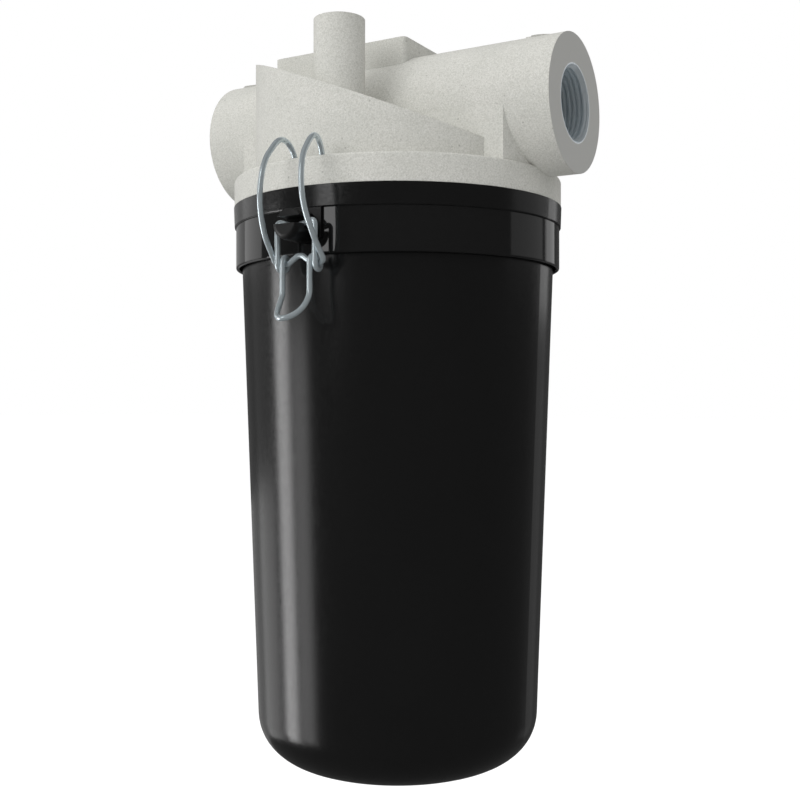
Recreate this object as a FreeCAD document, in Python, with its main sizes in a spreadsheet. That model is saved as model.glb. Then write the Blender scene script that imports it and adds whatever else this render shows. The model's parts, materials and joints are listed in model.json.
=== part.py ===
"""Compressed air filter: cast head with two 3/4 inch ports, a wire-latched bowl and a pleated element.

Heights inside every sub-part are measured from the joint plane, where the head's rim meets the bowl.
Each sub-part is then placed so that the origin is on the top mounting face, on the bowl's axis.
+X points to the outlet port, +Z is up, the latches are at -Y (front) and +Y (rear).
"""

import math
import os

import FreeCAD
import Part
import Sketcher

Vector = FreeCAD.Vector

# Driving dimensions in millimetres and degrees, by group.
SIZES = {
    "Head": {
        "mount_height": 60.5,
        "rim_radius": 60.8,
        "rim_height": 9.75,
        "rim_edge": 0.8,
        "shell_radius": 53.0,
        "roof_height": 36.7,
        "roof_angle": 21.6,
        "roof_wall": 4.7,
        "chamber_radius": 48.5,
        "tube_radius": 24.0,
        "tube_height": 31.74,
        "tube_reach": 70.8,
        "neck_half_width": 23.8,
        "neck_reach": 59.4,
        "pad_start": -45.8,
        "pad_end": 11.7,
        "pad_half_width": 15.0,
        "pad_corner": 1.8,
        "post_offset": 40.2,
        "post_radius": 8.9,
        "post_hole_radius": 3.4,
        "post_hole_depth": 18.0,
        "column_radius": 17.0,
        "column_drop": 6.0,
        "locknut_face_radius": 8.5,
        "passage_radius": 11.5,
        "outlet_wall_radius": 16.5,
        "rib_thickness": 4.0,
        "rib_height": 12.0,
        "spigot_radius": 55.2,
        "spigot_inner": 52.5,
        "spigot_drop": 5.0,
        "catch_half_width": 6.7,
        "catch_inner": 56.4,
        "catch_outer": 60.0,
        "catch_depth": 3.3,
        "mark_height": 0.6,
        "mark_length": 10.5,
        "mark_head_length": 6.5,
        "mark_half_width": 9.0,
        "mark_stem_half_width": 4.5,
        "outlet_mark_start": 54.2,
        "inlet_mark_start": -69.4,
    },
    "Ports": {
        "thread_crest_radius": 12.06,
        "thread_root_radius": 12.9,
        "thread_pitch": 1.814,
        "thread_tool_radius": 11.9,
        "thread_lead": 1.0,
        "thread_start_angle": 100.0,
        "thread_length": 18.0,
        "thread_bore_length": 19.0,
        "mouth_radius": 13.3,
        "mouth_depth": 1.4,
    },
    "Bowl": {
        "flange_radius": 61.0,
        "flange_foot_radius": 60.75,
        "flange_height": 7.4,
        "bowl_radius": 58.44,
        "bowl_draft": 2.06,
        "bowl_bottom": 202.8,
        "bowl_wall": 3.0,
        "bowl_floor": 4.0,
        "bowl_corner": 17.4,
        "flange_edge": 0.4,
        "bowl_mouth_radius": 55.6,
        "seal_ring_radius": 58.2,
        "seal_cord_radius": 1.08,
        "seal_groove_depth": 2.2,
        "seal_groove_half_width": 1.3,
    },
    "Band": {
        "band_radius": 60.2,
        "band_wall": 1.3,
        "band_bottom": 22.6,
        "band_ledge": 1.6,
        "band_ledge_radius": 58.45,
        "band_lip": 0.6,
    },
    "Latches": {
        "wire_radius": 0.95,
        "lug_half_width": 6.4,
        "lug_bottom": 17.4,
        "lug_proud": 1.1,
        "stud_radius": 5.2,
        "stud_height": 13.9,
        "stud_reach": 72.6,
        "stud_round": 2.0,
        "stud_slot_radius": 2.0,
        "stud_nose_start": 68.6,
        "stud_nose_rise": 1.2,
        "stud_upper_reach": 70.2,
        "lever_axis_reach": 66.0,
        "lever_axis_height": 13.15,
        "lever_vee": 0.95,
        "lever_half_width": 7.4,
        "lever_end_gap": 0.6,
        "wire_bend": 1.7,
        "lever_corner_bend": 1.15,
        "eye_radius": 2.3,
        "eye_height": 25.9,
        "handle_half_width": 5.36,
        "handle_bottom": 36.0,
        "finger_length": 10.9,
        "finger_start_angle": 26.0,
        "finger_end_angle": 62.0,
        "bail_half_width": 9.6,
        "bail_bar_half_width": 4.6,
        "bail_bar_rise": 2.5,
    },
    "Bail arm": {
        "tip_reach": 58.3,
        "tip_height": 6.6,
        "tip_aside": 5.4,
        "throat_reach": 59.1,
        "throat_height": 10.4,
        "throat_aside": 5.5,
        "crown_reach": 63.0,
        "crown_height": 14.9,
        "crown_aside": 6.25,
        "shoulder_reach": 70.9,
        "shoulder_height": 9.8,
        "shoulder_aside": 7.15,
        "belly_reach": 74.4,
        "belly_height": -0.5,
        "belly_aside": 7.95,
        "waist_reach": 73.9,
        "waist_height": -8.35,
        "waist_aside": 8.5,
        "calf_reach": 70.1,
        "calf_height": -17.4,
        "calf_aside": 9.3,
    },
    "Element": {
        "cap_top": 8.0,
        "cap_radius": 43.0,
        "cap_sheet": 1.5,
        "cap_skirt": 6.0,
        "cap_skirt_sheet": 1.0,
        "element_bottom": 170.0,
        "element_mouth_radius": 13.5,
        "core_radius": 22.2,
        "core_sheet": 1.0,
        "core_hole_radius": 3.2,
        "core_hole_rows": 11,
        "core_holes_round": 10,
        "pleat_inner_radius": 22.8,
        "pleat_outer_radius": 39.2,
        "pleat_count": 42,
        "pleat_sheet": 0.8,
        "sleeve_inner_radius": 40.0,
        "sleeve_outer_radius": 41.8,
        "rod_radius": 4.0,
        "rod_fit": 0.02,
        "rod_hole_radius": 4.3,
        "rod_top": 55.0,
        "rod_bottom": 187.0,
        "rod_shank_radius": 3.6,
        "nut_height": 6.5,
        "nut_flats": 13.0,
        "washer_radius": 9.0,
        "washer_height": 1.6,
        "element_seal_height": 2.0,
        "baffle_radius": 44.0,
        "baffle_flat_radius": 14.0,
        "baffle_sheet": 1.2,
        "baffle_drop": 10.0,
        "baffle_slots": 8,
        "baffle_slot_radius": 3.0,
        "wing_hub_radius": 6.5,
        "wing_hub_height": 9.0,
        "wing_reach": 17.0,
        "wing_thickness": 2.4,
        "wing_height": 8.0,
        "wing_corner": 3.0,
        "deflector_ring_inner": 44.0,
        "deflector_ring_outer": 51.8,
        "deflector_sheet": 1.2,
        "deflector_plate": 1.8,
        "deflector_bottom": 12.0,
        "deflector_hub_radius": 20.0,
        "deflector_fit": 0.2,
        "vane_count": 12,
        "vane_angle": 40.0,
    },
    "Drain": {
        "drain_hole_radius": 6.1,
        "drain_shank_radius": 6.0,
        "drain_flange_radius": 10.5,
        "drain_flange_height": 3.5,
        "drain_gasket_height": 1.5,
        "drain_body_bottom": 208.5,
        "drain_bore_radius": 3.0,
        "drain_seat_radius": 4.0,
        "drain_seat_depth": 2.8,
        "drain_port_radius": 0.8,
        "drain_port_drop": 1.5,
        "drain_nut_flats": 17.0,
        "drain_nut_height": 3.5,
        "stem_fit": 0.05,
        "stem_channel_radius": 1.1,
        "stem_end_radius": 2.5,
        "stem_seal_height": 201.5,
        "stem_seal_cord_radius": 0.45,
        "knob_radius": 12.8,
        "knob_top": 203.6,
        "knob_bottom": 211.7,
        "knob_edge": 1.2,
        "knob_cavity_radius": 10.4,
        "knob_cavity_bottom": 207.2,
        "knob_recess_radius": 6.4,
        "knob_recess_bottom": 209.0,
        "knob_grips": 16,
        "knob_grip_radius": 1.4,
        "knob_grip_reach": 13.5,
    },
}

# Stations of a bail's arm between its tip and its heel. The sheet gives each one's reach from the
# bowl's axis, its height above the joint plane, and its distance aside of the latch's middle.
ARM_STATIONS = ("throat", "crown", "shoulder", "belly", "waist", "calf")

document = FreeCAD.newDocument("compressed_air_filter")
sheet = document.addObject("Spreadsheet::Sheet", "Sizes")


def fill_sheet():
    """Write every driving dimension to the sheet, with its name as the alias."""
    row = 1
    for group, sizes in SIZES.items():
        sheet.set(f"A{row}", group)
        row += 1
        for name, value in sizes.items():
            sheet.set(f"A{row}", name)
            sheet.set(f"B{row}", str(value))
            sheet.setAlias(f"B{row}", name)
            row += 1
    document.recompute()


def size(formula):
    """The value of a formula of sheet names, such as "Sizes.rim_radius + 1"."""
    value = sheet.evalExpression(formula)
    return float(getattr(value, "Value", value))


def bind(item, formulas):
    """Tie properties of an object to formulas."""
    for path, formula in formulas.items():
        item.setExpression(path, formula)
    return item


def name_part(item, label):
    """Give a sub-part its name, and place it with the origin on the mounting face."""
    item.Label = label
    bind(item, {"Placement.Base.z": "-Sizes.mount_height"})
    return item


# ---------------------------------------------------------------- building blocks

UPRIGHT = FreeCAD.Rotation()
ALONG_X = FreeCAD.Rotation(Vector(0, 1, 0), 90)
ALONG_MINUS_X = FreeCAD.Rotation(Vector(0, 1, 0), -90)
ALONG_Y = FreeCAD.Rotation(Vector(1, 0, 0), -90)


def place(item, corner, rotation):
    item.Placement = FreeCAD.Placement(Vector(), rotation)
    x, y, z = corner
    return bind(item, {"Placement.Base.x": x, "Placement.Base.y": y, "Placement.Base.z": z})


def cylinder(name, radius, length, start=("0", "0", "0"), rotation=UPRIGHT):
    item = document.addObject("Part::Cylinder", name)
    bind(item, {"Radius": radius, "Height": length})
    return place(item, start, rotation)


def cone(name, first_radius, last_radius, length, start, rotation=UPRIGHT):
    item = document.addObject("Part::Cone", name)
    bind(item, {"Radius1": first_radius, "Radius2": last_radius, "Height": length})
    return place(item, start, rotation)


def box(name, lengths, corner, rotation=UPRIGHT):
    item = document.addObject("Part::Box", name)
    bind(item, dict(zip(("Length", "Width", "Height"), lengths)))
    return place(item, corner, rotation)


def torus(name, ring_radius, cord_radius, height):
    item = document.addObject("Part::Torus", name)
    bind(item, {"Radius1": ring_radius, "Radius2": cord_radius})
    return place(item, ("0", "0", height), UPRIGHT)


def hexagon(name, flats, height, start):
    """A six-sided prism, given by the distance across its flats."""
    item = document.addObject("Part::Prism", name)
    item.Polygon = 6
    bind(item, {"Circumradius": f"{flats} / sqrt(3)", "Height": height})
    return place(item, start, UPRIGHT)


def cut(name, base, tool):
    item = document.addObject("Part::Cut", name)
    item.Base = base
    item.Tool = tool
    return item


def fuse(name, shapes):
    item = document.addObject("Part::MultiFuse", name)
    item.Shapes = shapes
    return item


def common(name, shapes):
    item = document.addObject("Part::MultiCommon", name)
    item.Shapes = shapes
    return item


def rounded(name, base, radius_formula, wanted):
    """Round the edges of a block that a test picks."""
    document.recompute()
    item = document.addObject("Part::Fillet", name)
    item.Base = base
    radius = size(radius_formula)
    edges = enumerate(base.Shape.Edges, 1)
    item.Edges = [(number, radius, radius) for number, edge in edges if wanted(edge)]
    return item


def ring(name, inner, outer, bottom, height):
    """A plain ring about the bowl's axis."""
    outside = cylinder(f"{name}_outside", outer, height, ("0", "0", bottom))
    inside = cylinder(f"{name}_inside", inner, f"{height} + 2", ("0", "0", f"{bottom} - 1"))
    return cut(name, outside, inside)


def origin_plane(body, role):
    return next(f for f in body.Origin.OriginFeatures if f.Role == role)


def draw_outline(sketch, points):
    """Draw a closed outline of straight lines whose corners are tied to formulas."""
    corners = [Vector(size(across), size(up), 0) for across, up in points]
    count = len(corners)
    for i in range(count):
        sketch.addGeometry(Part.LineSegment(corners[i], corners[(i + 1) % count]), False)
    for i in range(count):
        sketch.addConstraint(Sketcher.Constraint("Coincident", i, 2, (i + 1) % count, 1))
    for i, (across, up) in enumerate(points):
        for kind, formula in (("DistanceX", across), ("DistanceY", up)):
            limit = Sketcher.Constraint(kind, -1, 1, i, 1, size(formula))
            number = sketch.addConstraint(limit)
            sketch.setExpression(f"Constraints[{number}]", formula)


def body_sketch(body, name, role):
    """An empty sketch on one of a body's own planes."""
    sketch = body.newObject("Sketcher::SketchObject", name)
    sketch.AttachmentSupport = [(origin_plane(body, role), "")]
    sketch.MapMode = "FlatFace"
    return sketch


def revolve(body, name, points, kind="PartDesign::Revolution"):
    """Turn an outline of (radius, height) about the bowl's axis."""
    sketch = body_sketch(body, f"{name}_outline", "XZ_Plane")
    draw_outline(sketch, points)
    feature = body.newObject(kind, name)
    feature.Profile = sketch
    feature.ReferenceAxis = (sketch, ["V_Axis"])
    feature.Angle = 360
    document.recompute()
    return feature


def turned_groove(body, name, points):
    """Turn an outline about the bowl's axis to remove material, and check that it did."""
    before = body.Shape.Volume
    feature = revolve(body, name, points, "PartDesign::Groove")
    if feature.Shape.Volume >= before:
        raise RuntimeError(f"{name} removed nothing")


def round_edges(body, name, base, formula, places):
    """Fillet the circular edges of base that lie at the given (radius, height) places."""
    wanted = [(size(radius), size(height)) for radius, height in places]
    names = []
    for number, edge in enumerate(base.Shape.Edges, 1):
        if not isinstance(edge.Curve, Part.Circle):
            continue
        radius = edge.Curve.Radius
        height = edge.Curve.Center.z
        if any(abs(radius - r) < 0.01 and abs(height - z) < 0.01 for r, z in wanted):
            names.append(f"Edge{number}")
    fillet = body.newObject("PartDesign::Fillet", name)
    fillet.Base = (base, names)
    bind(fillet, {"Radius": formula})
    document.recompute()
    return fillet


def revolved_body(label, points):
    body = document.addObject("PartDesign::Body", label)
    feature = revolve(body, f"{label}_turned", points)
    return body, feature


# ---------------------------------------------------------------- head casting


def roof_cutter(name, height):
    """A large block whose underside is the slanted roof plane, at the given height on the axis."""
    side = "3 * Sizes.rim_radius"
    corner = (
        f"-{side} / 2 * cos(Sizes.roof_angle)",
        f"-{side} / 2",
        f"{height} + {side} / 2 * sin(Sizes.roof_angle)",
    )
    slant = FreeCAD.Rotation(Vector(0, 1, 0), size("Sizes.roof_angle"))
    block = box(name, (side, side, side), corner, slant)
    return bind(block, {"Placement.Rotation.Angle": "Sizes.roof_angle"})


def mounting_pad():
    """The raised block on top, with rounded upright corners."""
    block = box(
        "pad_block",
        (
            "Sizes.pad_end - Sizes.pad_start",
            "2 * Sizes.pad_half_width",
            "Sizes.mount_height - Sizes.tube_height",
        ),
        ("Sizes.pad_start", "-Sizes.pad_half_width", "Sizes.tube_height"),
    )

    def upright(edge):
        return edge.BoundBox.XLength + edge.BoundBox.YLength < 0.001

    return rounded("pad", block, "Sizes.pad_corner", upright)


def flow_arrow(name, start):
    """A raised arrow on top of the port tube that points towards the outlet."""
    sketch = document.addObject("Sketcher::SketchObject", f"{name}_outline")
    neck = "Sizes.mark_length - Sizes.mark_head_length"
    draw_outline(
        sketch,
        [
            ("0", "-Sizes.mark_stem_half_width"),
            (neck, "-Sizes.mark_stem_half_width"),
            (neck, "-Sizes.mark_half_width"),
            ("Sizes.mark_length", "0"),
            (neck, "Sizes.mark_half_width"),
            (neck, "Sizes.mark_stem_half_width"),
            ("0", "Sizes.mark_stem_half_width"),
        ],
    )
    bind(sketch, {"Placement.Base.x": start, "Placement.Base.z": "Sizes.tube_height"})
    raised = document.addObject("Part::Extrusion", f"{name}_raised")
    raised.Base = sketch
    raised.DirMode = "Custom"
    raised.Dir = Vector(0, 0, 1)
    raised.Solid = True
    bind(raised, {"LengthFwd": "Sizes.tube_radius + 5"})
    around = cylinder(
        f"{name}_around",
        "Sizes.tube_radius + Sizes.mark_height",
        "2 * Sizes.tube_reach",
        ("-Sizes.tube_reach", "0", "Sizes.tube_height"),
        ALONG_X,
    )
    return common(name, [raised, around])


def head_outside():
    shell_blank = cylinder("shell_blank", "Sizes.shell_radius", "Sizes.mount_height + 10")
    shell = cut("shell", shell_blank, roof_cutter("roof_plane", "Sizes.roof_height"))
    rim_blank = cylinder("rim_blank", "Sizes.rim_radius", "Sizes.rim_height")

    def top_edge(edge):
        return abs(edge.CenterOfMass.z - size("Sizes.rim_height")) < 0.001

    rim = rounded("rim", rim_blank, "Sizes.rim_edge", top_edge)
    tube = cylinder(
        "port_tube",
        "Sizes.tube_radius",
        "2 * Sizes.tube_reach",
        ("-Sizes.tube_reach", "0", "Sizes.tube_height"),
        ALONG_X,
    )
    neck_sides = box(
        "neck_sides",
        ("2 * Sizes.neck_reach", "2 * Sizes.neck_half_width", "Sizes.tube_height"),
        ("-Sizes.neck_reach", "-Sizes.neck_half_width", "0"),
    )
    neck_ends = cylinder("neck_ends", "Sizes.neck_reach", "Sizes.tube_height")
    necks = common("necks", [neck_sides, neck_ends])
    posts = [
        cylinder(
            f"post_{side}",
            "Sizes.post_radius",
            "Sizes.mount_height - Sizes.rim_height",
            ("0", f"{sign}Sizes.post_offset", "Sizes.rim_height"),
        )
        for side, sign in (("front", "-"), ("rear", ""))
    ]
    spigot = cylinder(
        "spigot", "Sizes.spigot_radius", "Sizes.spigot_drop + 1", ("0", "0", "-Sizes.spigot_drop")
    )
    arrows = [
        flow_arrow("outlet_arrow", "Sizes.outlet_mark_start"),
        flow_arrow("inlet_arrow", "Sizes.inlet_mark_start"),
    ]
    return fuse("head_outside", [shell, rim, tube, necks, mounting_pad(), spigot] + posts + arrows)


def spigot_room():
    """Everything that is open below the joint plane, inside the spigot, but for the column's foot."""
    room = cylinder(
        "spigot_room",
        "Sizes.spigot_inner",
        "Sizes.column_drop + 1",
        ("0", "0", "-Sizes.column_drop - 1"),
    )
    foot = cylinder(
        "column_foot",
        "Sizes.column_radius",
        "Sizes.column_drop + 2",
        ("0", "0", "-Sizes.column_drop - 2"),
    )
    return cut("spigot_hollow", room, foot)


def chamber_hollow():
    """The inlet chamber around the outlet column, with the ribs that the deflector rests on."""
    blank = cylinder(
        "chamber_blank", "Sizes.chamber_radius", "Sizes.mount_height + 11", ("0", "0", "-1")
    )
    ceiling = roof_cutter("chamber_ceiling", "Sizes.roof_height - Sizes.roof_wall")
    room = cut("chamber_room", blank, ceiling)
    column = cylinder("column", "Sizes.column_radius", "Sizes.mount_height + 5", ("0", "0", "-3"))
    outlet_wall = cylinder(
        "outlet_wall",
        "Sizes.outlet_wall_radius",
        "Sizes.neck_reach",
        ("0", "0", "Sizes.tube_height"),
        ALONG_X,
    )
    ribs = []
    for number, angle in enumerate((45, 135)):
        rib = document.addObject("Part::Box", f"rib_{number}")
        rib.Placement = FreeCAD.Placement(Vector(), FreeCAD.Rotation(Vector(0, 0, 1), angle))
        turn = math.radians(angle)
        along = "Sizes.chamber_radius + 1"
        aside = "Sizes.rib_thickness / 2"
        bind(
            rib,
            {
                "Length": f"2 * ({along})",
                "Width": "Sizes.rib_thickness",
                "Height": "Sizes.rib_height",
                "Placement.Base.x": f"{-math.cos(turn)} * ({along}) + {math.sin(turn)} * {aside}",
                "Placement.Base.y": f"{-math.sin(turn)} * ({along}) - {math.cos(turn)} * {aside}",
            },
        )
        ribs.append(rib)
    kept = fuse("chamber_kept", [column, outlet_wall] + ribs)
    return cut("chamber_hollow", room, kept)


def port_hollows():
    """Both threaded ports. The thread is a helical groove that starts outside the mouth."""
    helix = document.addObject("Part::Helix", "thread_helix")
    bind(
        helix,
        {
            "Pitch": "Sizes.thread_pitch",
            "Height": "Sizes.thread_length",
            "Radius": "Sizes.thread_crest_radius",
        },
    )
    groove = document.addObject("Part::RegularPolygon", "thread_groove")
    groove.Polygon = 3
    groove.Placement = FreeCAD.Placement(Vector(), FreeCAD.Rotation(Vector(1, 0, 0), 90))
    circumradius = "(Sizes.thread_root_radius - Sizes.thread_tool_radius) / 1.5"
    bind(
        groove,
        {
            "Circumradius": circumradius,
            "Placement.Base.x": f"Sizes.thread_root_radius - {circumradius}",
        },
    )
    start_turn = FreeCAD.Rotation(Vector(0, 0, 1), size("Sizes.thread_start_angle"))
    hollows = []
    for port, sign, inward in (("outlet", "", ALONG_MINUS_X), ("inlet", "-", ALONG_X)):
        mouth = (f"{sign}Sizes.tube_reach", "0", "Sizes.tube_height")
        thread = document.addObject("Part::Sweep", f"{port}_thread")
        thread.Sections = [groove]
        thread.Spine = (helix, ["Edge1"])
        thread.Solid = True
        thread.Frenet = True
        outside = (f"{sign}(Sizes.tube_reach + Sizes.thread_lead)", "0", "Sizes.tube_height")
        place(thread, outside, inward.multiply(start_turn))
        bore = cylinder(
            f"{port}_bore", "Sizes.thread_crest_radius", "Sizes.thread_bore_length", mouth, inward
        )
        chamfer = cone(
            f"{port}_chamfer",
            "Sizes.mouth_radius",
            "Sizes.thread_crest_radius",
            "Sizes.mouth_depth",
            mouth,
            inward,
        )
        length = "Sizes.tube_reach" if port == "outlet" else "Sizes.tube_reach - 40"
        passage = cylinder(f"{port}_passage", "Sizes.passage_radius", length, mouth, inward)
        hollows += [bore, chamfer, passage, thread]
    return hollows


def head_hollows():
    drop = cylinder(
        "outlet_drop",
        "Sizes.passage_radius",
        "Sizes.tube_height + Sizes.column_drop + 1",
        ("0", "0", "-Sizes.column_drop - 1"),
    )
    spot_face = cylinder(
        "locknut_face",
        "Sizes.locknut_face_radius",
        "Sizes.passage_radius",
        ("0", "0", "Sizes.tube_height"),
    )
    rod_hole = cylinder(
        "rod_hole",
        "Sizes.rod_radius + Sizes.rod_fit",
        "Sizes.rod_top + 1 - Sizes.tube_height",
        ("0", "0", "Sizes.tube_height"),
    )
    post_holes = [
        cylinder(
            f"post_hole_{side}",
            "Sizes.post_hole_radius",
            "Sizes.post_hole_depth + 1",
            ("0", f"{sign}Sizes.post_offset", "Sizes.mount_height - Sizes.post_hole_depth"),
        )
        for side, sign in (("front", "-"), ("rear", ""))
    ]
    catches = [
        box(
            f"catch_{side}",
            (
                "2 * Sizes.catch_half_width",
                "Sizes.catch_outer - Sizes.catch_inner",
                "Sizes.catch_depth + 1",
            ),
            ("-Sizes.catch_half_width", low, "Sizes.rim_height - Sizes.catch_depth"),
        )
        for side, low in (("front", "-Sizes.catch_outer"), ("rear", "Sizes.catch_inner"))
    ]
    return [drop, spot_face, rod_hole] + post_holes + catches


def make_head():
    head = head_outside()
    head = cut("head_with_spigot", head, spigot_room())
    head = cut("head_with_chamber", head, chamber_hollow())
    for number, hollow in enumerate(head_hollows() + port_hollows()):
        head = cut(f"head_hollow_{number}", head, hollow)
    return name_part(head, "head")


# ---------------------------------------------------------------- bowl and band


def wall_radius(depth):
    """Formula for the bowl's outside radius at a depth below the joint plane."""
    return f"Sizes.bowl_radius - ({depth} - Sizes.flange_height) * tan(Sizes.bowl_draft)"


def make_bowl():
    floor = "-Sizes.bowl_bottom + Sizes.bowl_floor"
    inner_foot = f"{wall_radius('Sizes.bowl_bottom')} - Sizes.bowl_wall"
    outer_foot = wall_radius("Sizes.bowl_bottom")
    body, turned = revolved_body(
        "bowl",
        [
            ("Sizes.bowl_mouth_radius", "0"),
            ("Sizes.flange_radius", "0"),
            ("Sizes.flange_foot_radius", "-Sizes.flange_height"),
            ("Sizes.bowl_radius", "-Sizes.flange_height"),
            (outer_foot, "-Sizes.bowl_bottom"),
            ("Sizes.drain_hole_radius", "-Sizes.bowl_bottom"),
            ("Sizes.drain_hole_radius", floor),
            (inner_foot, floor),
        ],
    )
    outer = round_edges(
        body, "outer_corner", turned, "Sizes.bowl_corner", [(outer_foot, "-Sizes.bowl_bottom")]
    )
    inner = round_edges(
        body, "inner_corner", outer, "Sizes.bowl_corner - Sizes.bowl_wall", [(inner_foot, floor)]
    )
    round_edges(
        body,
        "flange_edges",
        inner,
        "Sizes.flange_edge",
        [("Sizes.flange_foot_radius", "-Sizes.flange_height")],
    )
    low = "Sizes.seal_ring_radius - Sizes.seal_groove_half_width"
    high = "Sizes.seal_ring_radius + Sizes.seal_groove_half_width"
    turned_groove(
        body,
        "seal_groove",
        [
            (low, "1"),
            (high, "1"),
            (high, "-Sizes.seal_groove_depth"),
            (low, "-Sizes.seal_groove_depth"),
        ],
    )
    name_part(body, "bowl")


def make_bowl_seal():
    seal = torus(
        "bowl_seal", "Sizes.seal_ring_radius", "Sizes.seal_cord_radius", "-Sizes.seal_groove_depth / 2"
    )
    bind(seal, {"Placement.Base.z": "-Sizes.seal_groove_depth / 2 - Sizes.mount_height"})
    seal.Label = "bowl_seal"


def make_latch_band():
    inner = "Sizes.band_radius - Sizes.band_wall"
    ledge_foot = "-Sizes.flange_height - Sizes.band_ledge"
    body, turned = revolved_body(
        "latch_band",
        [
            ("Sizes.band_ledge_radius", "-Sizes.flange_height"),
            ("Sizes.band_radius", "-Sizes.flange_height"),
            ("Sizes.band_radius", "-Sizes.band_bottom"),
            (inner, "-Sizes.band_bottom"),
            (inner, ledge_foot),
            ("Sizes.band_ledge_radius", ledge_foot),
        ],
    )
    round_edges(
        body,
        "band_lip",
        turned,
        "Sizes.band_lip",
        [("Sizes.band_radius", "-Sizes.band_bottom"), (inner, "-Sizes.band_bottom")],
    )
    name_part(body, "latch_band")


# ---------------------------------------------------------------- latches


def to_side(item, side):
    """Turn a front latch piece half a turn about the bowl's axis to make the rear one."""
    if side == "rear":
        item.Placement = FreeCAD.Placement(Vector(), FreeCAD.Rotation(Vector(0, 0, 1), 180))
    return item


def make_latch_lug(side):
    """A pad that follows the band and a forked stud that the lever's cross-bar turns in."""
    name = f"latch_lug_{side}"
    pad_block = box(
        f"{name}_block",
        ("2 * Sizes.lug_half_width", "20", "Sizes.lug_bottom - Sizes.flange_height"),
        ("-Sizes.lug_half_width", "-Sizes.band_radius - 10", "-Sizes.lug_bottom"),
    )
    pad_ring = cylinder(
        f"{name}_ring",
        "Sizes.band_radius + Sizes.lug_proud",
        "Sizes.band_bottom",
        ("0", "0", "-Sizes.band_bottom"),
    )
    pad = common(f"{name}_pad", [pad_block, pad_ring])
    stud_blank = cylinder(
        f"{name}_stud_blank",
        "Sizes.stud_radius",
        "Sizes.stud_reach - 55",
        ("0", "-Sizes.stud_reach", "-Sizes.stud_height"),
        ALONG_Y,
    )

    def outer_end(edge):
        return abs(edge.CenterOfMass.y + size("Sizes.stud_reach")) < 0.01

    stud = rounded(f"{name}_stud", stud_blank, "Sizes.stud_round", outer_end)
    slot_end = cylinder(
        f"{name}_slot_end",
        "Sizes.stud_slot_radius",
        "2 * Sizes.stud_reach",
        ("-Sizes.stud_reach", "-Sizes.lever_axis_reach", "-Sizes.lever_axis_height"),
        ALONG_X,
    )
    slot_floor = "-Sizes.lever_axis_height - Sizes.stud_slot_radius"
    slot_room = box(
        f"{name}_slot_room",
        (
            "2 * Sizes.stud_reach",
            "Sizes.stud_nose_start - Sizes.lever_axis_reach",
            "2 * Sizes.stud_slot_radius",
        ),
        ("-Sizes.stud_reach", "-Sizes.stud_nose_start", slot_floor),
    )
    slot_mouth = box(
        f"{name}_slot_mouth",
        ("2 * Sizes.stud_reach", "20", "2 * Sizes.stud_slot_radius - Sizes.stud_nose_rise"),
        (
            "-Sizes.stud_reach",
            "-Sizes.stud_nose_start - 19",
            f"{slot_floor} + Sizes.stud_nose_rise",
        ),
    )
    above_nose = box(
        f"{name}_above_nose",
        ("2 * Sizes.stud_reach", "20", "20"),
        ("-Sizes.stud_reach", "-Sizes.stud_upper_reach - 20", "-Sizes.lever_axis_height"),
    )
    band_room = cylinder(
        f"{name}_band_room",
        "Sizes.band_radius",
        "2 * Sizes.band_bottom",
        ("0", "0", "-2 * Sizes.band_bottom"),
    )
    lug = cut(f"{name}_outside", fuse(f"{name}_solid", [pad, stud]), band_room)
    slot = fuse(f"{name}_slot", [slot_end, slot_room, slot_mouth, above_nose])
    lug = cut(f"{name}_slotted", lug, slot)
    name_part(to_side(lug, side), name)


def latch_point(reach, height, aside):
    """A point of the front latch, from its reach, height and distance to the side."""
    return Vector(aside, -reach, height)


def bent_wire(corners, bend):
    """Edges of a polyline whose inner corners are rounded to the bend radius."""
    edges = []
    start = corners[0]
    for before, corner, after in zip(corners, corners[1:], corners[2:]):
        back = (before - corner).normalize()
        onward = (after - corner).normalize()
        half_angle = back.getAngle(onward) / 2
        setback = bend / math.tan(half_angle)
        middle = (back + onward).normalize()
        centre = corner + middle * (bend / math.sin(half_angle))
        first = corner + back * setback
        last = corner + onward * setback
        edges.append(Part.makeLine(start, first))
        edges.append(Part.Arc(first, centre - middle * bend, last).toShape())
        start = last
    edges.append(Part.makeLine(start, corners[-1]))
    return edges


def curve_edge(start, end, leaving, arriving):
    """A cubic edge between two points with given directions. On an arc it follows the arc."""
    turn = leaving.getAngle(arriving)
    share = 1 / 3 if turn < 0.001 else 2 / 3 * math.tan(turn / 4) / math.sin(turn / 2)
    pull = start.distanceToPoint(end) * share
    curve = Part.BezierCurve()
    curve.setPoles([start, start + leaving * pull, end - arriving * pull, end])
    return curve.toShape()


def curve_along(point_at, last, steps):
    """Edges along a path that a function gives, from 0 to last, with matching directions."""
    nudge = last * 1e-4
    stops = [last * step / steps for step in range(steps + 1)]
    points = [point_at(stop) for stop in stops]
    directions = [(point_at(stop + nudge) - point_at(stop - nudge)).normalize() for stop in stops]
    return [
        curve_edge(points[i], points[i + 1], directions[i], directions[i + 1]) for i in range(steps)
    ]


def curve_through(points, first_direction, last_direction):
    """Edges through a few points. The direction at each point follows its two neighbours."""
    directions = [first_direction]
    for before, point, after in zip(points, points[1:], points[2:]):
        near = point - before
        far = after - point
        blend = near * (far.Length / near.Length) + far * (near.Length / far.Length)
        directions.append(blend.normalize())
    directions.append(last_direction)
    return [
        curve_edge(points[i], points[i + 1], directions[i], directions[i + 1])
        for i in range(len(points) - 1)
    ]


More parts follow.
